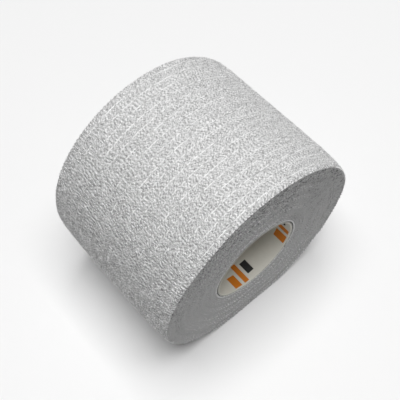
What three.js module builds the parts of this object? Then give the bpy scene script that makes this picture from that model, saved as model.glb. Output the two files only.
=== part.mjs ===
// A roll of cohesive bandage: a long strip of crinkled elastic cloth, wound on a thin card core.
// Millimetres, +Z up. The roll lies on its side. X runs along its axis, from the far end to the
// near end, Y runs across it, and Z = 0 is the surface that its flat spot rests on.
import * as THREE from "three";
import { mergeVertices } from "three/addons/utils/BufferGeometryUtils.js";

// Driving dimensions
const clothWidth = 50; // the strip's width, which is the roll's length
const rollRadius = 34.7; // of the winding at the middle of its length, half way round its spiral
const coreOuterRadius = 14.2;
const coreWall = 0.6;
const coreRecess = 0.15; // how far each end of the core sits inside the winding
const coreGap = 0.3; // between the core and the innermost turn
const clothThickness = 0.6; // one turn, where the strip ends
const tailAngle = -35; // degrees round the axis from +Y towards +Z, where the strip ends

// The winding is a little lopsided: its middle lies beside and below the core's axis.
const windingOffset = new THREE.Vector2(1.2, -1.4);
// From the core's axis down to the flat spot
const axisHeight = 34.1;

// The ends are rounded at the rim: how much the radius drops there, and over what length.
const nearShoulder = { end: 1, drop: 1.1, length: 9.4 };
const farShoulder = { end: -1, drop: 0.7, length: 10.5 };

// Soft hollows (-) and bulges (+) of the winding: the angle and the place along X of each one's
// middle, how far it reaches each way in degrees and in millimetres, and how high it rises.
const swells = [
  { angle: 127, turn: 15, along: 25, reach: 20, rise: -0.8 },
  { angle: 158, turn: 16, along: 25, reach: 16, rise: -0.35 },
  { angle: 88, turn: 16, along: 25, reach: 14, rise: 0.3 },
  { angle: 8, turn: 15, along: 22, reach: 20, rise: 0.4 },
  { angle: 305, turn: 18, along: 20, reach: 30, rise: 0.5 },
  { angle: 240, turn: 18, along: 20, reach: 24, rise: -0.5 },
  { angle: 45, turn: 20, along: -14, reach: 18, rise: -0.6 },
  { angle: 196, turn: 14, along: -2, reach: 22, rise: 0.35 },
  { angle: 340, turn: 26, along: -16, reach: 16, rise: -0.35 },
];

// The edges of the strip wander a little as it is wound, which leaves a shallow spiral on each
// end face: so many main turns of it, each with a groove this deep.
const mainTurns = 5;
const grooveDepth = 0.45;

// How finely the winding is drawn
const columnsRound = 80;
const cutAngle = 0.5; // degrees round the roll that the strip's cut end takes
const ringsPerTurn = 4;
const rowsOfShoulder = [0, 0.04, 0.16, 0.42, 1]; // shares of a shoulder's length, from its end
const rowsBetween = 2;
const coreSides = 72;

const boreRadius = coreOuterRadius + coreGap;
const halfWidth = clothWidth / 2;

// How much a rounded shoulder takes off the radius at a place along X
function shoulderDrop(along, { end, drop, length }) {
  const inward = THREE.MathUtils.clamp(halfWidth - end * along, 0, length);
  const share = 1 - inward / length;
  return drop * (1 - Math.sqrt(1 - share * share));
}

// A soft bump's height at an angle and a place along X
function swellHeight({ angle, turn, along, reach, rise }, atAngle, atAlong) {
  const apart = THREE.MathUtils.euclideanModulo(atAngle - angle + 180, 360) - 180;
  return rise * Math.exp(-((apart / turn) ** 2) - ((atAlong - along) / reach) ** 2);
}

// From the core's axis to the winding's surface: a circle that is off centre, with its swells,
// cut off by the flat spot, and drawn in at the shoulders. The spiral loses one thickness of
// cloth over a whole turn.
function windingRadius(angle, turn, along) {
  const radians = THREE.MathUtils.degToRad(angle);
  const way = new THREE.Vector2(Math.cos(radians), Math.sin(radians));
  const forward = windingOffset.dot(way);
  const sideways = windingOffset.cross(way);
  const circle = forward + Math.sqrt(rollRadius ** 2 - sideways ** 2);
  const swell = swells.reduce((sum, s) => sum + swellHeight(s, angle, along), 0);
  const round = circle + swell - clothThickness * (turn - 0.5);
  const floor = way.y < 0 ? -axisHeight / way.y : Infinity;
  const drawnIn = shoulderDrop(along, nearShoulder) + shoulderDrop(along, farShoulder);
  return Math.min(round, floor) - drawnIn;
}

// How deep the spiral groove is at a share of the way from the bore to the rim
function grooveAt(share, turn) {
  return grooveDepth * (0.5 - 0.5 * Math.cos(2 * Math.PI * (share * mainTurns - turn)));
}

// The winding's section, unrolled: each point is its share of the way from the bore to the outer
// surface, and its place along X. It runs out over the far end face, along the outer surface, in
// over the near end face and back along the bore.
function windingSection() {
  const rings = mainTurns * ringsPerTurn;
  const shares = Array.from({ length: rings + 1 }, (_, k) => k / rings);
  const far = rowsOfShoulder.map((share) => share * farShoulder.length - halfWidth);
  const near = rowsOfShoulder.map((share) => halfWidth - share * nearShoulder.length).reverse();
  const span = near[0] - far.at(-1);
  const between = Array.from(
    { length: rowsBetween },
    (_, k) => far.at(-1) + (span * (k + 1)) / (rowsBetween + 1),
  );
  const outer = [...far.slice(1), ...between, ...near.slice(0, -1)];
  return [
    ...shares.map((share) => new THREE.Vector2(share, -halfWidth)),
    ...outer.map((along) => new THREE.Vector2(1, along)),
    ...shares.reverse().map((share) => new THREE.Vector2(share, halfWidth)),
    new THREE.Vector2(0, 0),
    new THREE.Vector2(0, -halfWidth),
  ];
}

// Turns the section round the axis, and moves each point to its place on the winding.
function bandageGeometry() {
  const section = windingSection();
  const geometry = new THREE.LatheGeometry(section, columnsRound);
  const points = geometry.getAttribute("position");
  for (let k = 0; k < points.count; k++) {
    const { x: share, y: along } = section[k % section.length];
    const column = Math.floor(k / section.length) % columnsRound;
    const turn = column / (columnsRound - 1);
    const angle = tailAngle + turn * (360 - cutAngle);
    const radius = THREE.MathUtils.lerp(boreRadius, windingRadius(angle, turn, along), share);
    const onFace = Math.abs(along) === halfWidth && share > 0 && share < 1;
    const groove = onFace ? Math.sign(along) * grooveAt(share, turn) : 0;
    const radians = THREE.MathUtils.degToRad(angle);
    const height = axisHeight + radius * Math.sin(radians);
    points.setXYZ(k, along - groove, radius * Math.cos(radians), height);
  }
  geometry.deleteAttribute("normal");
  geometry.deleteAttribute("uv");
  const closed = mergeVertices(geometry, 1e-4);
  closed.computeVertexNormals();
  return closed;
}

// The core is a plain tube.
function coreGeometry() {
  const inner = coreOuterRadius - coreWall;
  const half = halfWidth - coreRecess;
  const corners = [
    [inner, -half],
    [coreOuterRadius, -half],
    [coreOuterRadius, half],
    [inner, half],
    [inner, -half],
  ];
  const section = corners.map(([radius, along]) => new THREE.Vector2(radius, along));
  return new THREE.LatheGeometry(section, coreSides)
    .rotateZ(-Math.PI / 2)
    .translate(0, 0, axisHeight);
}

const crinkledCloth = new THREE.MeshStandardMaterial({
  color: "#dcdcdc",
  roughness: 0.95,
  metalness: 0,
});
const greyCard = new THREE.MeshStandardMaterial({
  color: "#c4c2b6",
  roughness: 0.8,
  metalness: 0,
});

function makePiece(name, geometry, material) {
  const piece = new THREE.Mesh(geometry, material);
  piece.name = name;
  return piece;
}

const roll = new THREE.Group();
roll.add(makePiece("bandage", bandageGeometry(), crinkledCloth));
roll.add(makePiece("core", coreGeometry(), greyCard));

// The origin is under the middle of the roll's box.
const box = new THREE.Box3().setFromObject(roll);
const middle = box.getCenter(new THREE.Vector3());
roll.position.set(-middle.x, -middle.y, -box.min.z);

export default roll;
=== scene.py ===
# %% [markdown]
# # A roll of cohesive bandage
# The real thing is one long strip of crinkled, stretchy cloth, wound nearly forty times round a thin
# card tube. Cohesive cloth sticks to itself, so the roll holds its shape with no clip or tape.
# This lesson winds that strip in Blender round a fixed model of the roll, and finishes it so that
# the turns, the puckers and the elastic threads are real shapes and not only paint.

# %% Load the fixed frame
import math

import bpy
import numpy as np
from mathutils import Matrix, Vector
from mathutils.bvhtree import BVHTree


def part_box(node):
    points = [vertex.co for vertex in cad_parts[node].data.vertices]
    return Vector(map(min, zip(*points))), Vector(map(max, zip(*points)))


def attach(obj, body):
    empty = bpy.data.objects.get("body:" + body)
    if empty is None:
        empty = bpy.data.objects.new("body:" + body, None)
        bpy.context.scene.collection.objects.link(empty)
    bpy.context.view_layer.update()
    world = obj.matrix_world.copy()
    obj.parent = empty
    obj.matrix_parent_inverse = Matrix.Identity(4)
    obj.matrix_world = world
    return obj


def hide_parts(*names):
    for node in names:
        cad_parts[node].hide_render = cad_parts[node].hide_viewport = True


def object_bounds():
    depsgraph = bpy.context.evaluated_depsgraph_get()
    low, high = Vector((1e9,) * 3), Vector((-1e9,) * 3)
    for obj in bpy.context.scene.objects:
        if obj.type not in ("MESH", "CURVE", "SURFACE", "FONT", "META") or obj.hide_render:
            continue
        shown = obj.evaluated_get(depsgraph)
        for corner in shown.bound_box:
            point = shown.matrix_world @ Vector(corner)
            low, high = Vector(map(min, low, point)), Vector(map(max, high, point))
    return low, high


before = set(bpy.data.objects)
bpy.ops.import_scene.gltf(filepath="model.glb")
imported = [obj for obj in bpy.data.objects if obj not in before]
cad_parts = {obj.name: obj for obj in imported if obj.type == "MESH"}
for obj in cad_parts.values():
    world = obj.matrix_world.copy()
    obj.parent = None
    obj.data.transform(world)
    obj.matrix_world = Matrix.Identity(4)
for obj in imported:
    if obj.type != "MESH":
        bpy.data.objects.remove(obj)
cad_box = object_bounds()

MM = 0.001
print("The roll measures, in mm:", [round((high - low) / MM, 1) for low, high in zip(*cad_box)])

# %% [markdown]
# ## The camera
# The photograph looks down on the roll from beyond its near end. The place of the camera and its
# lens were worked out from the rim, the hole and the outline, and they are kept here as plain
# sizes. `to_track_quat` turns a direction of sight into the camera's rotation, with no tilt.

# %% Place the camera
CAMERA_PLACE = Vector((76.2, -66.6, 210.4)) * MM
CAMERA_BEARING = math.radians(40.9)  # round from the roll's axis
CAMERA_DROP = math.radians(60.24)  # down from level
CAMERA_LENS = 62.1  # focal length in mm
CAMERA_NEAR = 10 * MM  # nothing nearer is drawn

sight = Vector(
    (
        -math.cos(CAMERA_DROP) * math.cos(CAMERA_BEARING),
        math.cos(CAMERA_DROP) * math.sin(CAMERA_BEARING),
        -math.sin(CAMERA_DROP),
    )
)
camera = bpy.data.objects.new("camera", bpy.data.cameras.new("camera"))
bpy.context.scene.collection.objects.link(camera)
camera.location = CAMERA_PLACE
camera.rotation_euler = sight.to_track_quat("-Z", "Y").to_euler()
camera.data.lens = CAMERA_LENS
camera.data.clip_start = CAMERA_NEAR
bpy.context.scene.camera = camera
print("The camera is", round(CAMERA_PLACE.length / MM), "mm from the middle of the roll's foot")

# %% [markdown]
# ## Floor and light
# The photograph has a plain white ground and one soft light from overhead: the top of the roll is
# the brightest, its sides fall off to a mid grey, and the upright end face is darker still. A large
# area lamp gives that fall-off, and the white floor throws some of it back up, as a studio table
# does.

# %% Make the floor
FLOOR_HALF = 2.0  # metres from the middle to each side
FLOOR_WHITE = (0.85, 0.85, 0.85, 1)


def add_object(name, mesh):
    """An object at the origin that holds a mesh."""
    made = bpy.data.objects.new(name, mesh)
    bpy.context.scene.collection.objects.link(made)
    return made


def new_material(name, roughness, specular=0.5):
    """A material with its node tree and its shader, ready to be filled in."""
    material = bpy.data.materials.new(name)
    material.use_nodes = True
    shader = material.node_tree.nodes["Principled BSDF"]
    shader.inputs["Roughness"].default_value = roughness
    shader.inputs["Specular IOR Level"].default_value = specular
    return material, material.node_tree, shader


pale_floor, _, floor_shader = new_material("pale floor", roughness=0.8)
floor_shader.inputs["Base Color"].default_value = FLOOR_WHITE
corners = [(x * FLOOR_HALF, y * FLOOR_HALF, 0) for x, y in ((-1, -1), (1, -1), (1, 1), (-1, 1))]
floor_mesh = bpy.data.meshes.new("floor")
floor_mesh.from_pydata(corners, [], [(0, 1, 2, 3)])
floor_mesh.materials.append(pale_floor)
floor = add_object("floor", floor_mesh)
print("The floor is", 2 * FLOOR_HALF, "m across")

# %% Hang the lamp
LAMP_PLACE = Vector((0.06, 0.0, 1.5))
LAMP_SIZE = 1.0  # metres along each side
LAMP_WATTS = 26.5
SKY = 0.05  # the strength of the light from all round
SKY_WHITE = (1, 1, 1, 1)

lamp_data = bpy.data.lights.new("overhead", "AREA")
lamp_data.size = LAMP_SIZE
lamp_data.energy = LAMP_WATTS
lamp = bpy.data.objects.new("overhead", lamp_data)
bpy.context.scene.collection.objects.link(lamp)
lamp.location = LAMP_PLACE
lamp.rotation_euler = (-LAMP_PLACE).to_track_quat("-Z", "Y").to_euler()

world = bpy.data.worlds.new("studio")
world.use_nodes = True
world.node_tree.nodes["Background"].inputs["Color"].default_value = SKY_WHITE
world.node_tree.nodes["Background"].inputs["Strength"].default_value = SKY
bpy.context.scene.world = world
bpy.context.scene.view_settings.view_transform = "Standard"
print("The lamp hangs", LAMP_PLACE.z, "m up and draws", LAMP_WATTS, "W")

# %% [markdown]
# ## Helpers for node trees
# Geometry Nodes and materials are both trees of nodes, and a script builds both the same way: add a
# node, set its choices, then fill its sockets with values or with links from other nodes. A few
# short helpers keep the trees below readable, and let one function serve both kinds of tree.

# %% Helpers for any node tree
NOISE_GAIN = 6.0  # Blender's soft noise keeps mostly within a sixth of its middle, which is a half


def add(tree, kind, inputs=None, **choices):
    """Adds a node. inputs maps a socket's name or number to a value or to another socket."""
    node = tree.nodes.new(kind)
    for choice, value in choices.items():
        setattr(node, choice, value)
    for key, value in (inputs or {}).items():
        if isinstance(value, bpy.types.NodeSocket):
            tree.links.new(value, node.inputs[key])
        else:
            node.inputs[key].default_value = value
    return node


def maths(tree, operation, *values):
    """The result of one Math node."""
    return add(tree, "ShaderNodeMath", dict(enumerate(values)), operation=operation).outputs[0]


def combine(tree, x=0.0, y=0.0, z=0.0):
    """A vector made of three numbers or sockets."""
    return add(tree, "ShaderNodeCombineXYZ", {0: x, 1: y, 2: z}).outputs[0]


def separate(tree, vector):
    """The X, Y and Z of a vector, as three sockets."""
    return add(tree, "ShaderNodeSeparateXYZ", {0: vector}).outputs


def soft_noise(tree, x, y, z=0.0, detail=0.0):
    """Soft noise about zero, mostly between -1 and 1, with hills one unit apart."""
    values = {"Vector": combine(tree, x, y, z), "Scale": 1.0, "Detail": detail, "Roughness": 0.5}
    noise = add(tree, "ShaderNodeTexNoise", values).outputs[0]
    return maths(tree, "MULTIPLY_ADD", noise, NOISE_GAIN, -NOISE_GAIN / 2)


# %% Helpers for Geometry Nodes
def new_group(name, inputs, geometry=True, outputs=()):
    """A node group with a named input for each size. Returns it with its input's sockets."""
    tree = bpy.data.node_groups.new(name, "GeometryNodeTree")
    face = tree.interface
    if geometry:
        face.new_socket("Geometry", in_out="INPUT", socket_type="NodeSocketGeometry")
        face.new_socket("Geometry", in_out="OUTPUT", socket_type="NodeSocketGeometry")
    for label, value in inputs.items():
        kind = "NodeSocketInt" if isinstance(value, int) else "NodeSocketFloat"
        face.new_socket(label, in_out="INPUT", socket_type=kind).default_value = value
    for label in outputs:
        face.new_socket(label, in_out="OUTPUT", socket_type="NodeSocketVector")
    return tree, tree.nodes.new("NodeGroupInput").outputs


def attribute(tree, name):
    """A number that each point of the base mesh carries."""
    node = add(tree, "GeometryNodeInputNamedAttribute", {"Name": name}, data_type="FLOAT")
    return node.outputs["Attribute"]


def position(tree):
    """The X, Y and Z of each point of the base mesh."""
    return separate(tree, add(tree, "GeometryNodeInputPosition").outputs[0])


def close_tree(tree, geometry, material, cut_material=None):
    """Ends a tree: instances become real, and the faces get their materials."""
    real = add(tree, "GeometryNodeRealizeInstances", {"Geometry": geometry}).outputs[0]
    values = {"Geometry": real, "Material": material}
    dressed = add(tree, "GeometryNodeSetMaterial", values).outputs[0]
    if cut_material:
        cut = attribute(tree, "cut")
        values = {"Geometry": dressed, "Selection": cut, "Material": cut_material}
        dressed = add(tree, "GeometryNodeSetMaterial", values).outputs[0]
    add(tree, "NodeGroupOutput", {"Geometry": dressed})


def triangles(mesh):
    """How many triangles a mesh has."""
    return sum(len(face.vertices) - 2 for face in mesh.polygons)


def grow(name, base_mesh, tree, sizes):
    """Runs a tree on a mesh, and keeps the result as a plain mesh with no modifier."""
    base = add_object(name + "_base", base_mesh)
    modifier = base.modifiers.new("nodes", "NODES")
    modifier.node_group = tree
    for item in tree.interface.items_tree:
        if item.in_out == "INPUT" and item.name in sizes:
            modifier[item.identifier] = sizes[item.name]
    grown = base.evaluated_get(bpy.context.evaluated_depsgraph_get())
    piece = add_object(name, bpy.data.meshes.new_from_object(grown))
    bpy.data.objects.remove(base)
    print(name, "has", triangles(piece.data), "triangles")
    return piece


# %% [markdown]
# ## How far the winding reaches
# A real roll is never a perfect cylinder: it sags flat where it lies, and swells where its turns
# are loose. The fixed model already has that shape, so it is measured here, and not made up again.
# Rays are shot at it from all round, and the distance from the core's axis to the surface goes into
# a table, which is then read between its entries. The model steps in by one thickness of cloth
# where the strip ends. That step is taken out of the table, to leave an even outline.

# %% Measure the outline
TAIL_ANGLE = math.radians(-35)  # where the strip ends, round the axis from +Y towards +Z
TAIL_STEP = 0.6 * MM  # how far the model steps in there
DIRECTIONS = 160  # rows of the table, all round the axis
PLACES = 61  # its columns, from rim to rim
RIM_SHARE = 0.998  # the outermost place, as a share of the half width, where rays still hit
RAY_START = 60 * MM  # from the axis, well outside the roll
SMOOTHINGS = 3  # passes that even out the facets of the model

core_low, core_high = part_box("core")
core_radius = (core_high.z - core_low.z) / 2
core_half = core_high.x
axis_y = (core_low.y + core_high.y) / 2
axis_z = (core_low.z + core_high.z) / 2
half_width = cad_box[1][0]

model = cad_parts["bandage"].data
model_points = [vertex.co for vertex in model.vertices]
model_tree = BVHTree.FromPolygons(model_points, [face.vertices for face in model.polygons])


def reach_at(angle, along):
    """How far the fixed model reaches from the axis, in a direction and at a place along X."""
    way = Vector((0, math.cos(angle), math.sin(angle)))
    centre = Vector((along, axis_y, axis_z))
    hit = model_tree.ray_cast(centre + way * RAY_START, -way)[0]
    return (hit - centre).length


# The places crowd together towards both rims, where the outline turns in.
places = RIM_SHARE * half_width * np.sin(np.linspace(-math.pi / 2, math.pi / 2, PLACES))
turn_shares = (np.arange(DIRECTIONS) + 0.5) / DIRECTIONS
angles = TAIL_ANGLE + turn_shares * math.tau
reach_table = np.array([[reach_at(angle, along) for along in places] for angle in angles])
reach_table += TAIL_STEP * (turn_shares - 0.5)[:, None]
# Each pass gives an entry half of its own reach and a quarter of each neighbour's.
for _ in range(SMOOTHINGS):
    beside = np.roll(reach_table, 1, axis=0) + np.roll(reach_table, -1, axis=0)
    reach_table = 0.5 * reach_table + 0.25 * beside
nearest, farthest = round(reach_table.min() / MM, 1), round(reach_table.max() / MM, 1)
print("The outline reaches", nearest, "to", farthest, "mm from the axis")


# %% Read the table between its entries
def outline(turns, along):
    """The even outline's reach, so many turns from the strip's end and at a place along X."""
    column = np.interp(along, places, np.arange(PLACES))
    left = np.minimum(column.astype(int), PLACES - 2)
    row = (turns % 1) * DIRECTIONS - 0.5
    below = np.floor(row).astype(int)
    total = 0
    for step, row_share in ((0, 1 - (row - below)), (1, row - below)):
        for side, share in ((0, 1 - (column - left)), (1, column - left)):
            total = total + row_share * share * reach_table[(below + step) % DIRECTIONS, left + side]
    return total


print("Half a turn from the strip's end it reaches", round(outline(np.array(0.5), 0.0) / MM, 1), "mm")

# %% [markdown]
# ## The flat strip
# Before it is wound, the cloth is a long flat band, and it is modelled as one: a closed section of
# a few points, repeated in columns along the strip. Each point carries what the winding needs to
# know about it: how many turns it is from the strip's end, how deep it lies in the cloth, and how
# far the roll's outline reaches there. The UV map gives its place on the flat strip in millimetres,
# for the material to read. A spiral could be drawn in place at once, but the pleats, the threads and
# their colours are far easier to lay out on the flat.

# %% Sizes of the winding
WINDINGS = 36  # turns from the strip's end in to the core
CLOTH = 0.52 * MM  # the thickness of one turn, pressed in the roll
MEAN_RADIUS = 34.7 * MM  # of the roll, half way round its outermost turn
BORE_GAP = 0.3 * MM  # between the core and the innermost turn
EDGE_CREST = 0.06 * MM  # how far in from each cut edge the cloth is rounded

bore = core_radius + BORE_GAP
turn_pitch = (MEAN_RADIUS - CLOTH - bore) / WINDINGS
print("Each turn takes", round(turn_pitch / MM, 3), "mm of the radius")


def strip_length(turns):
    """The length of cloth in so many turns, from the strip's end inwards."""
    return math.tau * (MEAN_RADIUS * turns - turn_pitch * turns**2 / 2)


# %% Lay out a strip
def store(mesh, label, numbers, domain="POINT", kind="FLOAT"):
    """Writes one number for each point or face of a mesh."""
    layer = mesh.attributes.new(label, kind, domain)
    layer.data.foreach_set("value", numbers)


def strip_mesh(name, turns, section):
    """A closed flat strip. section lists (place along X, depth in the cloth from 0 to 1)."""
    rows, columns = len(section), len(turns)
    along, depth = np.array(section).T
    across, turn = np.tile(along, columns), np.repeat(turns, rows)
    length = strip_length(turn)
    points = np.stack([across, length, -np.tile(depth, columns) * CLOTH], axis=1)
    column, row = np.divmod(np.arange((columns - 1) * rows), rows)
    here, beside = column * rows + row, column * rows + (row + 1) % rows
    # Winding turns the strip over, so that these faces end up pointing outwards.
    sides = np.stack([here, here + rows, beside + rows, beside], axis=1)
    ends = [list(range(rows)), list(range((columns - 1) * rows, columns * rows))[::-1]]
    mesh = bpy.data.meshes.new(name)
    mesh.from_pydata(points.tolist(), [], sides.tolist() + ends)
    store(mesh, "turn", turn)
    store(mesh, "depth", np.tile(depth, columns))
    store(mesh, "reach", outline(turn, across))
    # A face belongs to a cut edge if its middle lies within a crest of that edge.
    walls = np.abs(along + np.roll(along, -1)) / 2 > half_width - EDGE_CREST
    store(mesh, "cut", np.append(walls[row], [True, True]), "FACE", "BOOLEAN")
    layer = mesh.uv_layers.new(name="cloth")
    corner_points = np.zeros(len(mesh.loops), int)
    mesh.loops.foreach_get("vertex_index", corner_points)
    flat = np.stack([length, across], axis=1) / MM
    layer.data.foreach_set("uv", flat[corner_points].ravel())
    return mesh


# %% [markdown]
# ## The crinkle
# The cloth is gathered by its stretched threads, so it puckers in small pleats that lie across the
# strip. A sine wave along the strip gives the pleats, soft noise makes them stray, and finer noise
# adds short ridges. Each cell between two threads has a seed of its own. Where the strip was pulled
# tight as it was wound, the pleats die out at the threads; where it was slack, they run on across
# them. A cloth simulation could gather the strip too, but hardly on five metres of it. One function
# makes this pattern for the mesh and for the material, so that the colour follows the relief.

# %% Sizes of the crinkle, in mm on the flat strip
THREADS = 18
THREAD_PITCH = 2.7  # from one thread to the next across the strip
FIRST_THREAD = half_width / MM - 1.7  # the place of the one nearest to the near edge
PLEAT = 1.15  # from one pleat to the next along the strip
PLEAT_SWAY = 0.4  # how far a pleat strays, as a share of that
PLEAT_ROUGHNESS = 0.4  # how uneven a pleat is, beside its own height
FADE = 0.35  # how steeply taut pleats die out at the threads
GROOVE_SHADE_REACH = 0.4  # how far the painted shade beside a thread reaches, in mm
CELL_SEED = 7.3  # from the seed of one cell between two threads to that of the next
CELL_PHASE = 0.21  # how far that seed moves the pleats along the strip, in pleats
TAUT_TURN = 0.29  # where the strip was pulled tightest, in turns from its end
PULLS = 2  # how often in each turn it was pulled so

# Four layers of noise, each with the length of its hills along the strip and across it, and a seed
SWAY = (5.0, 0.7, 0.0)  # makes the pleats stray
ROUGH = (0.6, 1.0, 1.7)  # makes them uneven
FINE_TAUT = (0.2, 0.45, 3.1)  # the short ridges of taut cloth
FINE_SLACK = (0.22, 1.3, 5.3)  # the longer ridges of slack cloth
print("The outermost turn has", round(strip_length(1) / MM / PLEAT), "pleats")


# %% The crinkle, as nodes
def tautness(tree, turn):
    """1 where the strip was pulled tight as it was wound, and 0 where it was slack."""
    phase = maths(tree, "MULTIPLY", maths(tree, "SUBTRACT", turn, TAUT_TURN), PULLS * math.tau)
    return maths(tree, "MULTIPLY_ADD", maths(tree, "COSINE", phase), 0.5, 0.5)


def crinkle(tree, length, across, taut):
    """The pleats and the fine ridges at a place on the strip, about zero, and how near a thread is, for
    a painted shade beside it.
    """
    cells = maths(tree, "DIVIDE", maths(tree, "SUBTRACT", FIRST_THREAD, across), THREAD_PITCH)
    within = maths(tree, "FRACT", cells)
    cell_seed = maths(tree, "MULTIPLY", maths(tree, "FLOOR", cells), CELL_SEED)

    def layer(along_hill, across_hill, seed):
        """One layer of noise, with its own seed in each cell between two threads."""
        x, y = maths(tree, "DIVIDE", length, along_hill), maths(tree, "DIVIDE", across, across_hill)
        return soft_noise(tree, x, y, maths(tree, "ADD", cell_seed, seed))

    phase = maths(tree, "MULTIPLY_ADD", cell_seed, CELL_PHASE, maths(tree, "DIVIDE", length, PLEAT))
    phase = maths(tree, "MULTIPLY_ADD", layer(*SWAY), PLEAT_SWAY, phase)
    pleat = maths(tree, "SINE", maths(tree, "MULTIPLY", phase, math.tau))
    pleat = maths(tree, "MULTIPLY_ADD", layer(*ROUGH), PLEAT_ROUGHNESS, pleat)
    tight, loose = layer(*FINE_TAUT), layer(*FINE_SLACK)
    fine = maths(tree, "MULTIPLY_ADD", maths(tree, "SUBTRACT", tight, loose), taut, loose)

    arch = maths(tree, "SINE", maths(tree, "MULTIPLY", within, math.pi))
    fade = maths(tree, "POWER", arch, maths(tree, "MULTIPLY", taut, FADE))
    pleat, fine = (maths(tree, "MULTIPLY", height, fade) for height in (pleat, fine))
    # On taut cloth the material paints a shade beside each thread, for the groove it lies in: painted
    # shade.
    aside = maths(tree, "MINIMUM", within, maths(tree, "SUBTRACT", 1.0, within))
    beside = maths(tree, "MULTIPLY_ADD", aside, -THREAD_PITCH / GROOVE_SHADE_REACH, 1.0)
    beside = maths(tree, "MULTIPLY", maths(tree, "MAXIMUM", beside, 0.0), taut)
    return pleat, fine, beside


# %% [markdown]
# ## Winding it up
# The rule is a spiral: a point's angle grows with its turns, and its distance from the axis falls
# from the outline to the bore. Where the roll has sagged there is less room for its turns, and they
# are squeezed thinner. The first turn lies close round the core, and climbs over the strip's inner
# end in one short step. Six turns further out nothing is left of that step. The rule is a node
# group of its own, because the cloth and its threads are wound by it alike. The floor stops
# everything at its own height.

# %% The spiral, as a node group
SPIRAL_SIZES = {
    "Axis Y": axis_y,
    "Axis Z": axis_z,
    "Bore Radius": bore,
    "Start Angle": TAIL_ANGLE,
    "Windings": float(WINDINGS),
    "Cloth Thickness": CLOTH,
    "Turn Pitch": turn_pitch,
    "Tail Step": TAIL_STEP,
    "Tail Lift": 0.3 * MM,  # how far the strip's end stands up
    "Tail Share": 0.02,  # the part of a turn that lifts so
    "Climb": 0.03,  # the part of a turn in which the cloth climbs over the inner end
    "Climb Fades": 6.0,  # in so many turns
}
PLACE_SIZES = {"Turn": 0.0, "Reach": 0.0, "Height": 0.0, "Along": 0.0, "Lowest": 0.0}
CURL = 2.0  # the power by which the lift of the strip's end grows


def build_spiral():
    """The group that gives a place on the roll for turns, reach, height in the cloth and X."""
    inputs = {**SPIRAL_SIZES, **PLACE_SIZES}
    tree, size = new_group("spiral", inputs, geometry=False, outputs=["Place"])
    angle = maths(tree, "MULTIPLY_ADD", size["Turn"], math.tau, size["Start Angle"])
    outer = maths(tree, "MULTIPLY_ADD", size["Tail Step"], 0.5, size["Reach"])
    innermost = maths(tree, "ADD", size["Bore Radius"], size["Cloth Thickness"])
    wound = maths(tree, "SUBTRACT", size["Windings"], size["Turn"])
    past = maths(tree, "FRACT", wound)
    values = {"Value": past, "From Min": maths(tree, "SUBTRACT", 1.0, size["Climb"])}
    climb = add(tree, "ShaderNodeMapRange", values, interpolation_type="SMOOTHSTEP").outputs[0]
    fade = maths(tree, "SUBTRACT", 1.0, maths(tree, "DIVIDE", wound, size["Climb Fades"]))
    fade = maths(tree, "MAXIMUM", fade, 0.0)
    late = maths(tree, "MULTIPLY", maths(tree, "SUBTRACT", climb, past), fade)
    share = maths(tree, "DIVIDE", maths(tree, "ADD", wound, late), size["Windings"])
    room = maths(tree, "SUBTRACT", outer, innermost)
    under = maths(tree, "MULTIPLY_ADD", room, share, size["Bore Radius"])
    usual_room = maths(tree, "MULTIPLY", size["Windings"], size["Turn Pitch"])
    squeeze = maths(tree, "DIVIDE", room, usual_room)
    radius = maths(tree, "MULTIPLY_ADD", size["Height"], squeeze, under)
    from_end = maths(tree, "SUBTRACT", 1.0, maths(tree, "DIVIDE", size["Turn"], size["Tail Share"]))
    curl = maths(tree, "POWER", maths(tree, "MAXIMUM", from_end, 0.0), CURL)
    radius = maths(tree, "MULTIPLY_ADD", curl, size["Tail Lift"], radius)
    y = maths(tree, "MULTIPLY_ADD", maths(tree, "COSINE", angle), radius, size["Axis Y"])
    z = maths(tree, "MULTIPLY_ADD", maths(tree, "SINE", angle), radius, size["Axis Z"])
    z = maths(tree, "MAXIMUM", z, size["Lowest"])
    add(tree, "NodeGroupOutput", {"Place": combine(tree, size["Along"], y, z)})
    return tree


spiral = build_spiral()
print("The spiral has", len(spiral.nodes), "nodes")


def wind(tree, size, geometry, along, height, lowest=0.0):
    """Moves the points of a flat strip or thread to their places on the roll."""
    values = {label: size[label] for label in SPIRAL_SIZES}
    values.update({"Turn": attribute(tree, "turn"), "Reach": attribute(tree, "reach")})
    values.update({"Height": height, "Along": along, "Lowest": lowest})
    place = add(tree, "GeometryNodeGroup", values, node_tree=spiral).outputs[0]
    values = {"Geometry": geometry, "Position": place}
    return add(tree, "GeometryNodeSetPosition", values).outputs[0]


# %% The tree that winds a strip
STRIP_SIZES = {
    **SPIRAL_SIZES,
    "Pleat Height": 0.0,
    "Edge Scallop": 0.04 * MM,
    "Edge Wander": 0.1 * MM,
    "Groove Depth": 0.2 * MM,
    "Groove Turns": 5.0,
    "Seed": 3.0,
}
TOP_DEPTH = 0.01  # a point less deep than this is on the cloth's outer face
EDGE_POWER = 12.0  # how closely the wandering keeps to the cut edges
SLOW_HILLS = 7.0  # of the edges' slow wandering, to the turn
FAST_HILL = 0.9  # the length of a hill of their fast wandering, in mm
FAST_SHARE = 0.6  # how strong the fast wandering is beside the slow
GROOVE_ONSET = 3.0  # turns from the strip's end in which the grooves reach their depth


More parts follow.
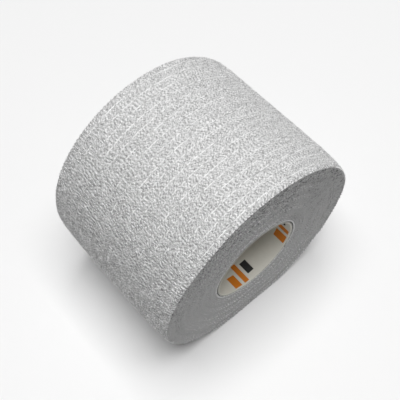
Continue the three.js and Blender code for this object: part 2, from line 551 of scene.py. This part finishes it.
def edge_wander(tree, size, turn, length_mm, end):
    """How far a cut edge stands out: its slow and fast wandering, less its spiral grooves."""
    slow = soft_noise(tree, maths(tree, "MULTIPLY", turn, SLOW_HILLS), end, size["Seed"], detail=2.0)
    fast = soft_noise(tree, maths(tree, "DIVIDE", length_mm, FAST_HILL), end, size["Seed"], detail=1.0)
    wander = maths(tree, "MULTIPLY_ADD", fast, FAST_SHARE, slow)
    rate = maths(tree, "ADD", maths(tree, "DIVIDE", size["Groove Turns"], size["Windings"]), 1.0)
    phase = maths(tree, "MULTIPLY", maths(tree, "MULTIPLY", turn, rate), math.tau)
    dip = maths(tree, "MULTIPLY_ADD", maths(tree, "COSINE", phase), 0.5, -0.5)
    onset = maths(tree, "MINIMUM", maths(tree, "DIVIDE", turn, GROOVE_ONSET), 1.0)
    dip = maths(tree, "MULTIPLY", maths(tree, "MULTIPLY", dip, onset), size["Groove Depth"])
    return maths(tree, "MULTIPLY_ADD", wander, size["Edge Wander"], dip)


def build_strip_tree(name, material, cut_material):
    """The tree that winds a flat strip, crinkles its outer face and lets its edges wander."""
    tree, size = new_group(name, STRIP_SIZES)
    turn, depth = attribute(tree, "turn"), attribute(tree, "depth")
    along, length, _ = position(tree)
    along_mm, length_mm = maths(tree, "DIVIDE", along, MM), maths(tree, "DIVIDE", length, MM)

    pleat, _, _ = crinkle(tree, length_mm, along_mm, tautness(tree, turn))
    on_top = maths(tree, "LESS_THAN", depth, TOP_DEPTH)
    lift = maths(tree, "MULTIPLY", maths(tree, "MULTIPLY", pleat, size["Pleat Height"]), on_top)
    from_under = maths(tree, "SUBTRACT", 1.0, depth)
    height = maths(tree, "MULTIPLY_ADD", from_under, size["Cloth Thickness"], lift)

    end = maths(tree, "SIGN", along)
    nearness = maths(tree, "DIVIDE", maths(tree, "ABSOLUTE", along_mm), half_width / MM)
    edge = maths(tree, "MULTIPLY", maths(tree, "POWER", nearness, EDGE_POWER), end)
    out = edge_wander(tree, size, turn, length_mm, end)
    out = maths(tree, "MULTIPLY_ADD", pleat, size["Edge Scallop"], out)
    along = maths(tree, "MULTIPLY_ADD", out, edge, along)

    wound = wind(tree, size, size["Geometry"], along, height)
    close_tree(tree, wound, material, cut_material)
    print(name, "takes", len(tree.nodes), "nodes")
    return tree


# %% [markdown]
# ## Finish of the cloth
# The cloth is a matt white nonwoven. Its colour follows the same crinkle as the relief: the ridges are
# painted lighter and the troughs greyer, partly the grey of the turn below that shows through the thin
# cloth and partly painted shade. The cut edges, pressed together on the end faces, are painted mid
# grey, partly for the shade that falls between the pressed layers. A photograph of cloth could be laid
# on instead, but it would not follow the threads and pleats that are modelled.

# %% Helpers for the materials
def ramp(tree, value, stops):
    """A colour ramp through greys: stops lists (place, grey)."""
    node = add(tree, "ShaderNodeValToRGB", {"Fac": value})
    elements = node.color_ramp.elements
    while len(elements) < len(stops):
        elements.new(0.5)
    for element, (place, grey) in zip(elements, stops):
        element.position = place
        element.color = (grey, grey, grey, 1)
    return node.outputs[0]


def flat_place(tree, uv_map):
    """Where a point lies on the flat piece, in mm: along it and across it."""
    along, across, _ = separate(tree, add(tree, "ShaderNodeUVMap", uv_map=uv_map).outputs[0])
    return along, across


# %% The crinkled face
CLOTH_TONE = 0.4  # of slack cloth, half way up a pleat, on the scale of the ramp
# Painted light and shade in the tone: taut leaves slack cloth on the roll's lower sides darker, a
# painted shade; pleat and fine lighten ridges and darken troughs, partly painted shade; beside is a
# painted shade along each thread. fibre is a random tone of the cloth.
CLOTH_SHADES = {"taut": 0.1, "pleat": 0.15, "fine": 0.14, "fibre": 0.18, "beside": -0.03}
CLOTH_GREYS = [(0.1, 0.25), (0.5, 0.64), (0.85, 0.98)]
FIBRE_HILLS = (6.0, 3.0)  # of the noise that stands for single fibres, to the mm along and across
FINE_BUMP = 0.07 * MM  # how high the finest ridges seem to stand


def crinkled_material():
    """Painted white on the ridges and grey in the troughs, partly painted shade, with a bump for the
    finest ridges.
    """
    material, tree, shader = new_material("crinkled cloth", roughness=0.92, specular=0.15)
    place = flat_place(tree, "cloth")
    turn = add(tree, "ShaderNodeAttribute", attribute_name="turn").outputs["Fac"]
    taut = tautness(tree, turn)
    pleat, fine, beside = crinkle(tree, *place, taut)
    fibre_place = [maths(tree, "MULTIPLY", part, hills) for part, hills in zip(place, FIBRE_HILLS)]
    fibre = soft_noise(tree, *fibre_place)
    # Slack cloth is painted a little greyer than taut cloth: a painted shade on the roll's two lower
    # sides, away from the overhead lamp.
    parts = {"taut": taut, "pleat": pleat, "fine": fine, "fibre": fibre, "beside": beside}
    tone = CLOTH_TONE
    for label, part in parts.items():
        tone = maths(tree, "MULTIPLY_ADD", part, CLOTH_SHADES[label], tone)
    tree.links.new(ramp(tree, tone, CLOTH_GREYS), shader.inputs["Base Color"])
    bump_height = maths(tree, "MULTIPLY", fine, FINE_BUMP)
    bump = add(tree, "ShaderNodeBump", {"Height": bump_height, "Strength": 1.0, "Distance": 1.0})
    tree.links.new(bump.outputs[0], shader.inputs["Normal"])
    return material


crinkled_cloth = crinkled_material()
print("The crinkled face takes", len(crinkled_cloth.node_tree.nodes), "nodes")

# %% The cut edges
PIT = 0.32  # the length of a pit between two turns, in mm
GAP = 1.5  # the length of a gap where two turns have come apart, in mm
TURN_HILL = 70.0  # the length in which the shade of a turn changes, in mm
EDGE_HILLS = 4.0  # of pits and gaps to the mm, across the strip
GAP_SEED = 50.0
GAP_LEVEL = 0.5  # only noise above this opens a gap
PIT_FLOOR, PIT_DEPTH = -0.2, 0.6  # how light it gets between pits, and how dark a pit's painted shade is
# The cut edges' mid grey is partly painted shade, for the shade that falls between the pressed layers.
CUT_TONE, TURN_SHADE, BORE_PAINTED_HIGHLIGHT = 0.58, 0.04, 0.3  # on the scale of the ramp
CUT_GREYS = [(0.0, 0.1), (0.5, 0.4), (0.8, 0.52), (1.0, 0.8)]

# The turns are loosest at the rim and at the top, where no weight lies on them, and in patches, and
# there the painted shade of their pits and gaps is deepest.
HEIGHT_SHARE, RADIUS_SHARE = 0.4, 0.6
TIGHT, LOOSE = 10 * MM, 30 * MM  # the ends of the scale of looseness, as a distance
LEAST_LOOSENESS = 0.15
PATCH = 6 * MM  # from one patch of looser turns to the next
PATCH_SHIFT = 3 * MM  # how far a patch moves its turns on that scale


def looseness_at(tree, aside, above, from_axis):
    """How loosely the turns lie at a place on an end face: 1 where they are loosest."""
    distance = maths(tree, "MULTIPLY", from_axis, RADIUS_SHARE)
    distance = maths(tree, "MULTIPLY_ADD", above, HEIGHT_SHARE, distance)
    patches = soft_noise(tree, maths(tree, "DIVIDE", aside, PATCH), maths(tree, "DIVIDE", above, PATCH))
    distance = maths(tree, "MULTIPLY_ADD", patches, PATCH_SHIFT, distance)
    ends = {"From Min": TIGHT, "From Max": LOOSE, "To Min": LEAST_LOOSENESS, "To Max": 1.0}
    return add(tree, "ShaderNodeMapRange", {"Value": distance, **ends}).outputs[0]


def cut_edge_material():
    """The pressed cut edges: painted mid grey, partly painted shade, with painted shade in the pits and
    gaps between loose turns and a painted highlight round the bore.
    """
    material, tree, shader = new_material("cut edges", roughness=0.95, specular=0.15)
    length, across = flat_place(tree, "cloth")
    _, y, z = separate(tree, add(tree, "ShaderNodeTexCoord").outputs["Object"])
    aside, above = maths(tree, "SUBTRACT", y, axis_y), maths(tree, "SUBTRACT", z, axis_z)
    squares = maths(tree, "MULTIPLY_ADD", aside, aside, maths(tree, "MULTIPLY", above, above))
    from_axis = maths(tree, "SQRT", squares)
    looseness = looseness_at(tree, aside, above, from_axis)

    # Pits and gaps between the turns are painted dark: painted shade, where light does not reach in
    # between them.
    hills = maths(tree, "MULTIPLY", across, EDGE_HILLS)
    pit = soft_noise(tree, maths(tree, "DIVIDE", length, PIT), hills)
    pit = maths(tree, "MULTIPLY", maths(tree, "MAXIMUM", pit, PIT_FLOOR), PIT_DEPTH)
    gap = soft_noise(tree, maths(tree, "DIVIDE", length, GAP), hills, GAP_SEED)
    gap = maths(tree, "MAXIMUM", maths(tree, "SUBTRACT", gap, GAP_LEVEL), 0.0)
    gap = maths(tree, "MULTIPLY", gap, looseness)
    pit_and_gap_shade = maths(tree, "MULTIPLY", maths(tree, "ADD", gap, pit), looseness)

    turn_noise = soft_noise(tree, maths(tree, "DIVIDE", length, TURN_HILL), maths(tree, "SIGN", across))
    # The innermost turn's cut edge, round the bore, is painted lighter: a painted highlight line.
    innermost = maths(tree, "LESS_THAN", from_axis, bore + CLOTH)
    tone = maths(tree, "MULTIPLY_ADD", turn_noise, TURN_SHADE, CUT_TONE)
    tone = maths(tree, "MULTIPLY_ADD", innermost, BORE_PAINTED_HIGHLIGHT, tone)
    tone = maths(tree, "SUBTRACT", tone, pit_and_gap_shade)
    tree.links.new(ramp(tree, tone, CUT_GREYS), shader.inputs["Base Color"])
    return material


cut_edges = cut_edge_material()
print("The cut edges take", len(cut_edges.node_tree.nodes), "nodes")

# %% [markdown]
# ## The outermost turn
# This turn is what shows most, so it gets the finest net of points: close together along the strip,
# where the ridges follow each other, and further apart across it, with one row on every thread. It
# runs a little past a whole turn, to tuck under its own end.

# %% Wind the outermost turn
OUTER_COLUMNS = 985
OUTER_TURNS = 1.02
ROWS_PER_CELL = 5  # between one thread and the next
RIM_ROWS = (0.0, 0.05, 0.25)  # mm in from the edge
RIM_CLEAR = 0.5 * MM  # the width that these rows have to themselves
SHARP = math.radians(60)  # an edge as steep as this stays sharp


def outer_section():
    """Rows across the top, from the far edge to the near one, then two points underneath."""
    # The rows reach past both edges of the strip, and those beyond are dropped.
    steps = np.arange(-2 * ROWS_PER_CELL, (THREADS + 2) * ROWS_PER_CELL) / ROWS_PER_CELL
    rows = (FIRST_THREAD - THREAD_PITCH * steps) * MM
    rows = rows[np.abs(rows) < half_width - RIM_CLEAR]
    rims = [half_width - inset * MM for inset in RIM_ROWS]
    top = [-x for x in rims] + sorted(rows) + rims[::-1]
    return [(x, 0.0) for x in top] + [(half_width, 1.0), (-half_width, 1.0)]


def smooth(piece):
    """Smooth shading that keeps the sharp cut edges."""
    piece.data.shade_smooth()
    piece.data.set_sharp_from_angle(angle=SHARP)


outer_mesh = strip_mesh("outer_turn", np.linspace(0, OUTER_TURNS, OUTER_COLUMNS), outer_section())
strip_tree = build_strip_tree("wind the strip", crinkled_cloth, cut_edges)
outer_sizes = {**STRIP_SIZES, "Pleat Height": 0.1 * MM, "Edge Scallop": 0.09 * MM}
outer_turn = grow("outer_turn", outer_mesh, strip_tree, outer_sizes)
smooth(outer_turn)

# %% [markdown]
# ## The turns beneath
# Of all the other turns only the two edges show, on the end faces. So this stretch of the strip has
# a section of six points, with a soft crest along each edge. A disc with painted rings would be
# lighter still, but its rings would neither stand out nor catch the light.

# %% Wind the inner turns
COLUMNS_PER_TURN = 300

inner_section = [
    (-half_width, 0.5),
    (-half_width + EDGE_CREST, 0.0),
    (half_width - EDGE_CREST, 0.0),
    (half_width, 0.5),
    (half_width - EDGE_CREST, 1.0),
    (-half_width + EDGE_CREST, 1.0),
]
inner_steps = np.arange(round((WINDINGS - 1) * COLUMNS_PER_TURN)) / COLUMNS_PER_TURN + 1.0
inner_mesh = strip_mesh("inner_turns", inner_steps, inner_section)
inner_turns = grow("inner_turns", inner_mesh, strip_tree, STRIP_SIZES)
smooth(inner_turns)

# %% [markdown]
# ## The elastic threads
# Eighteen fine elastic threads run along the strip and gather it. They show as thin bright lines
# that sink in now and then. Each is a polyline along the flat strip, which the spiral winds up.
# Then it becomes a curve, and a small circle is swept along it, thicker at its knots. As paint on
# the cloth they would never rise over its pleats, and it is that rise that makes them shine.

# %% Sizes of the threads
THREAD_STEPS = 470
THREAD_SIDES = 6
THREAD_SIZES = {
    **SPIRAL_SIZES,
    "Thread Radius": 0.105 * MM,
    "Knot Swelling": 0.3,
    "Rise": 0.09 * MM,  # of a thread's middle over taut cloth
    "Sinking": 0.05 * MM,  # how far it rises and sinks from there
    "Slack": 0.24 * MM,  # how much deeper it lies in slack cloth
    "Sideways": 0.05 * MM,
}
THREAD_TURNS = (0.001, 0.999)  # where each thread begins and ends, in turns from the strip's end
SINKING_HILL, SIDEWAYS_HILL, KNOT_HILL = 2.2, 3.0, 0.8  # the lengths of their hills of noise, in mm
SINKING_SEED, SIDEWAYS_SEED, KNOT_SEED = 1.0, 7.0, 4.0
FLOOR_RADII = 2.0  # how far a thread's middle keeps above the floor, in radii
THREAD_GRAIN = 1.2 * MM
THREAD_GREYS = [(0.38, 0.45), (0.5, 1.0)]
print("The threads cover", round(THREAD_PITCH * (THREADS - 1), 1), "mm of the strip's width")


def thread_mesh():
    """One polyline for each thread, on the flat strip."""
    turns = np.tile(np.linspace(*THREAD_TURNS, THREAD_STEPS), THREADS)
    across = np.repeat(FIRST_THREAD - THREAD_PITCH * np.arange(THREADS), THREAD_STEPS) * MM
    points = np.stack([across, strip_length(turns), 0 * turns], axis=1)
    starts = np.arange(len(points)).reshape(THREADS, THREAD_STEPS)[:, :-1].ravel()
    mesh = bpy.data.meshes.new("elastic_threads")
    mesh.from_pydata(points.tolist(), np.stack([starts, starts + 1], axis=1).tolist(), [])
    store(mesh, "turn", turns)
    store(mesh, "reach", outline(turns, across))
    return mesh


# %% Sweep the threads
def sweep(tree, curve, sides, radius, caps=False):
    """Sweeps a circle along a curve, as a polygon of so many sides."""
    values = {"Resolution": sides, "Radius": 1.0}
    circle = add(tree, "GeometryNodeCurvePrimitiveCircle", values).outputs[0]
    values = {"Curve": curve, "Profile Curve": circle, "Scale": radius, "Fill Caps": caps}
    return add(tree, "GeometryNodeCurveToMesh", values).outputs[0]


def build_thread_tree(material):
    """The tree that winds polylines and sweeps a small circle along them."""
    tree, size = new_group("sweep the threads", THREAD_SIZES)
    along, length, _ = position(tree)
    length_mm = maths(tree, "DIVIDE", length, MM)
    which = maths(tree, "DIVIDE", along, THREAD_PITCH * MM)

    def thread_noise(hill, seed, detail):
        """Soft noise along the strip that differs from thread to thread."""
        return soft_noise(tree, maths(tree, "DIVIDE", length_mm, hill), which, seed, detail)

    sinking = thread_noise(SINKING_HILL, SINKING_SEED, detail=1.0)
    rise = maths(tree, "MULTIPLY_ADD", sinking, size["Sinking"], size["Rise"])
    slackness = maths(tree, "SUBTRACT", 1.0, tautness(tree, attribute(tree, "turn")))
    slack = maths(tree, "MULTIPLY", slackness, size["Slack"])
    height = maths(tree, "ADD", maths(tree, "SUBTRACT", rise, slack), size["Cloth Thickness"])
    sideways = thread_noise(SIDEWAYS_HILL, SIDEWAYS_SEED, detail=1.0)
    moved = maths(tree, "MULTIPLY_ADD", sideways, size["Sideways"], along)
    knots = thread_noise(KNOT_HILL, KNOT_SEED, detail=0.0)
    thickness = maths(tree, "MULTIPLY_ADD", knots, size["Knot Swelling"], 1.0)
    radius = maths(tree, "MULTIPLY", thickness, size["Thread Radius"])
    values = {"Geometry": size["Geometry"], "Name": "thickness", "Value": radius}
    kept = add(tree, "GeometryNodeStoreNamedAttribute", values, data_type="FLOAT", domain="POINT")
    lowest = maths(tree, "MULTIPLY", size["Thread Radius"], FLOOR_RADII)
    wound = wind(tree, size, kept.outputs[0], moved, height, lowest)
    curve = add(tree, "GeometryNodeMeshToCurve", {"Mesh": wound}).outputs[0]
    swept = sweep(tree, curve, THREAD_SIDES, attribute(tree, "thickness"), caps=True)
    close_tree(tree, swept, material)
    return tree


def thread_material():
    """White elastic, a little shiny, and uneven where fibres cling to it."""
    material, tree, shader = new_material("elastic thread", roughness=0.38)
    place = add(tree, "ShaderNodeTexCoord").outputs["Object"]
    grain = add(tree, "ShaderNodeTexNoise", {"Vector": place, "Scale": 1 / THREAD_GRAIN, "Detail": 1.0})
    tree.links.new(ramp(tree, grain.outputs[0], THREAD_GREYS), shader.inputs["Base Color"])
    return material


thread_tree = build_thread_tree(thread_material())
elastic_threads = grow("elastic_threads", thread_mesh(), thread_tree, THREAD_SIZES)
elastic_threads.data.shade_smooth()

# %% [markdown]
# ## Stray fibres
# Nonwoven cloth is a mat of loose fibres, and some of them stand out of it in low loops. Points
# are scattered on the faces of the outermost turn. Each gets a copy of one small arched fibre,
# which stands on the surface and is turned and sized at random. The fibres keep clear of the foot,
# where the roll's weight presses them flat. Blender's hair could make them too, but the export keeps
# only what is a mesh.

# %% One fibre
FIBRE_SIZES = {
    "Density": 230000.0,  # to the square metre
    "Half Length": 0.5 * MM,
    "Arch": 0.16 * MM,
    "Root Depth": 0.03 * MM,
    "Thickness": 0.035 * MM,
    "Clear Below": 3.0 * MM,
    "Seed": 11,
}
FIBRE_STEPS = 4
FIBRE_SIDES = 3
FIBRE_SCALES = (0.6, 1.4)  # the smallest and the largest, beside the sizes above
FIBRE_WHITE = (0.9, 0.9, 0.9, 1)
print("About", round(FIBRE_SIZES["Density"] / 10000), "fibres stand on each square centimetre")


def fibre_mesh(tree, size):
    """A fibre that arches from root to root, and leans to one side."""
    root = maths(tree, "MULTIPLY", size["Root Depth"], -1.0)
    start_x = maths(tree, "MULTIPLY", size["Half Length"], -1.0)
    # Such a curve reaches only half as high as its middle point.
    middle_z = maths(tree, "MULTIPLY", size["Arch"], 2.0)
    values = {
        "Resolution": FIBRE_STEPS,
        "Start": combine(tree, start_x, 0.0, root),
        "Middle": combine(tree, 0.0, size["Arch"], middle_z),
        "End": combine(tree, size["Half Length"], 0.0, root),
    }
    arch = add(tree, "GeometryNodeCurveQuadraticBezier", values).outputs[0]
    return sweep(tree, arch, FIBRE_SIDES, size["Thickness"])


# %% Scatter the fibres
def random_value(tree, least, greatest, seed):
    """A random number for each instance. The sockets are numbered, because some share a name."""
    values = {2: least, 3: greatest, 8: seed}
    return add(tree, "FunctionNodeRandomValue", values, data_type="FLOAT").outputs[1]


def build_fibre_tree(material):
    """The tree that scatters small arched fibres on the cloth's top face."""
    tree, size = new_group("scatter the fibres", FIBRE_SIZES)
    on_top = maths(tree, "LESS_THAN", attribute(tree, "depth"), TOP_DEPTH)
    lifted = maths(tree, "GREATER_THAN", position(tree)["Z"], size["Clear Below"])
    values = {
        "Mesh": size["Geometry"],
        "Selection": maths(tree, "MULTIPLY", on_top, lifted),
        "Density": size["Density"],
        "Seed": size["Seed"],
    }
    scattered = add(tree, "GeometryNodeDistributePointsOnFaces", values)
    values = {
        "Points": scattered.outputs["Points"],
        "Instance": fibre_mesh(tree, size),
        "Rotation": scattered.outputs["Rotation"],
        "Scale": random_value(tree, *FIBRE_SCALES, size["Seed"]),
    }
    placed = add(tree, "GeometryNodeInstanceOnPoints", values).outputs[0]
    spin = combine(tree, 0.0, 0.0, random_value(tree, 0.0, math.tau, size["Seed"]))
    turned = add(tree, "GeometryNodeRotateInstances", {"Instances": placed, "Rotation": spin})
    close_tree(tree, turned.outputs[0], material)
    return tree


fibre_white, _, fibre_shader = new_material("fibre", roughness=0.6)
fibre_shader.inputs["Base Color"].default_value = FIBRE_WHITE
fibre_tree = build_fibre_tree(fibre_white)
stray_fibres = grow("stray_fibres", outer_turn.data.copy(), fibre_tree, FIBRE_SIZES)
stray_fibres.data.shade_smooth()

# %% [markdown]
# ## The core
# The roll is wound on a thin card tube: pale lining inside, raw grey board outside and on its cut
# ends. Its section is drawn once, with a soft inner lip and a crisp outer corner, and turned round
# the axis. A modifier could turn it, but arithmetic gives exact places for a UV map in millimetres.
# A few plain colour bars are printed inside its near end, and the material draws them from that map.

# %% Turn the card tube
CORE_WALL = 0.6 * MM
CORE_SIDES = 160
LIP = 0.25 * MM  # the radius of the tube's inner corners
OUTER_CORNER = 0.08 * MM
CORNER_STEPS = 3
LINING, RAW, PRINTED = range(3)  # the order of the tube's materials


def tube_section():
    """The tube's section as (place along X, radius, material of the face that starts there)."""
    corners = [(1, -1, LIP), (1, 1, OUTER_CORNER), (-1, 1, OUTER_CORNER), (-1, -1, LIP)]
    section = []
    for quarter, (end, side, corner) in enumerate(corners):
        middle_x = end * (core_half - corner)
        middle_r = core_radius - corner if side > 0 else core_radius - CORE_WALL + corner
        for step in range(CORNER_STEPS + 1):
            angle = math.radians(-90 + 90 * (quarter + step / CORNER_STEPS))
            card = LINING if side < 0 and step < CORNER_STEPS else RAW
            x, r = middle_x + corner * math.cos(angle), middle_r + corner * math.sin(angle)
            section.append((x, r, card))
    # The last point starts the long inner face, which carries the print.
    section[-1] = (*section[-1][:2], PRINTED)
    return section


def tube_mesh(name, section):
    """The tube, with the UV map in mm: along the arc and in from the near end."""
    rows = len(section)
    turn = np.arange(CORE_SIDES + 1) / CORE_SIDES
    points = [
        (x, axis_y + r * math.cos(math.tau * t), axis_z + r * math.sin(math.tau * t))
        for t in turn[:-1]
        for x, r, _ in section
    ]
    faces, cards, uvs = [], [], []
    for side in range(CORE_SIDES):
        for row in range(rows):
            pairs = [(side, row), (side, row + 1), (side + 1, row + 1), (side + 1, row)]
            faces.append([(s % CORE_SIDES) * rows + r % rows for s, r in pairs])
            cards.append(section[row][2])
            for s, r in pairs:
                arc = turn[s] * math.tau * core_radius / MM
                uvs.append((arc, (core_half - section[r % rows][0]) / MM))
    mesh = bpy.data.meshes.new(name)
    mesh.from_pydata(points, [], faces)
    mesh.polygons.foreach_set("material_index", cards)
    layer = mesh.uv_layers.new(name="card")
    layer.data.foreach_set("uv", np.array(uvs).ravel())
    return mesh


core_mesh = tube_mesh("card_core", tube_section())
print("card_core has", triangles(core_mesh), "triangles")


# %% Card and its printed bars
REPEATS = 4  # how often the bars are printed round the tube
ORANGE = (0.56, 0.17, 0.01)
BLACK = (0.012, 0.012, 0.012)
LINING_GREY = (0.64, 0.63, 0.57)
RAW_GREY = (0.42, 0.41, 0.37)
MOTTLE = 1.5 * MM  # from one mottle of the card to the next
MOTTLE_SHADE = 0.9  # the darkest mottling, as a share of the card's grey

# Each bar: where its middle is round the axis, in degrees; its width along the arc and where it
# begins and ends below the rim, in mm; and its colour
BARS = [
    {"angle": -112, "width": 3.0, "from": 0.5, "to": 4.6, "ink": ORANGE},
    {"angle": -97.5, "width": 1.8, "from": 0.5, "to": 7.2, "ink": ORANGE},
    {"angle": -84.5, "width": 2.4, "from": 2.2, "to": 6.2, "ink": BLACK},
]


def mix_colours(tree, share, first, second):
    """Two colours mixed. The sockets are numbered, because a Mix node has three called A."""
    return add(tree, "ShaderNodeMix", {0: share, 6: first, 7: second}, data_type="RGBA").outputs[2]


def card_material(name, grey, bars):
    """Smooth card with a faint mottling, and any printed bars."""
    material, tree, shader = new_material(name, roughness=0.6, specular=0.25)
    place = add(tree, "ShaderNodeTexCoord").outputs["Object"]
    mottle = add(tree, "ShaderNodeTexNoise", {"Vector": place, "Scale": 1 / MOTTLE, "Detail": 3.0})
    darkest = (*(MOTTLE_SHADE * part for part in grey), 1)
    colour = mix_colours(tree, mottle.outputs[0], darkest, (*grey, 1))
    arc, depth = flat_place(tree, "card")
    repeat = math.tau * core_radius / MM / REPEATS
    within = maths(tree, "FRACT", maths(tree, "DIVIDE", arc, repeat))
    within = maths(tree, "MULTIPLY", within, repeat)
    for bar in bars:
        bar_arc = (math.radians(bar["angle"]) * core_radius / MM) % repeat
        aside = maths(tree, "ABSOLUTE", maths(tree, "SUBTRACT", within, bar_arc))
        inside = maths(tree, "LESS_THAN", aside, bar["width"] / 2)
        middle, half = (bar["from"] + bar["to"]) / 2, (bar["to"] - bar["from"]) / 2
        below = maths(tree, "ABSOLUTE", maths(tree, "SUBTRACT", depth, middle))
        mask = maths(tree, "MULTIPLY", inside, maths(tree, "LESS_THAN", below, half))
        colour = mix_colours(tree, mask, colour, (*bar["ink"], 1))
    tree.links.new(colour, shader.inputs["Base Color"])
    return material


core_mesh.materials.append(card_material("card lining", LINING_GREY, []))
core_mesh.materials.append(card_material("raw card", RAW_GREY, []))
core_mesh.materials.append(card_material("printed card", LINING_GREY, BARS))
card_core = add_object("card_core", core_mesh)
smooth(card_core)
print("Round the tube its", len(BARS), "bars are printed", REPEATS, "times")

# %% [markdown]
# ## What each piece stands for
# The finished meshes take the place of the fixed model's two solids, which are hidden, and each one
# rides on the root body.

for piece in (outer_turn, inner_turns, elastic_threads, stray_fibres):
    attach(piece, "root")
    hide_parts("bandage")
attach(card_core, "root")
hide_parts("core")
